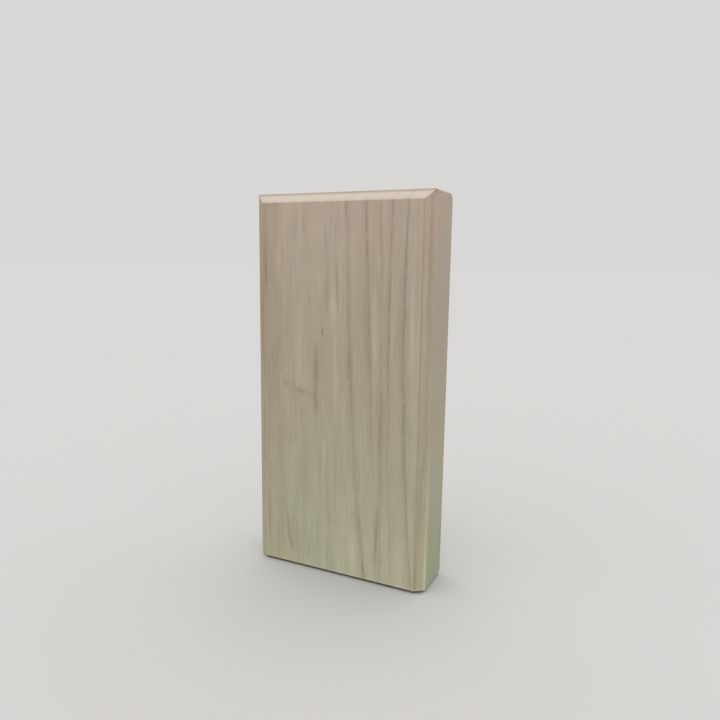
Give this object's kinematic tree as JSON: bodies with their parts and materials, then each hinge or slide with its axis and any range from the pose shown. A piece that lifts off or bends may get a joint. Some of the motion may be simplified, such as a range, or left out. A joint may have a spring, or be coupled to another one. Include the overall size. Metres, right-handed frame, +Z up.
{
  "type": "photo block",
  "caption": "Free-standing solid wood photo block with bevelled front edges, a keyhole slot in its back, felt pads under its base and soft wall bumpers.",
  "frame": {"origin": "on the surface that the base pads stand on, midway from side to side and from the picture face to the crowns of the wall bumpers", "axes": "+Z up along the block's height and grain, -Y out of the picture face, +X to the right of someone who looks at that face"},
  "size_m": [0.099, 0.0304, 0.2012],
  "materials": {
    "wood": "bare, fine-sanded pale wood with a flat-sawn grain that runs up the block",
    "felt": "pressed wool felt",
    "bumper": "soft satin polyurethane"
  },
  "bodies": {
    "root": {"block": "wood", "base_pad_front_left": "felt", "base_pad_front_right": "felt", "base_pad_back_left": "felt", "base_pad_back_right": "felt", "wall_bumper_left": "bumper", "wall_bumper_right": "bumper"}
  },
  "joints": []
}
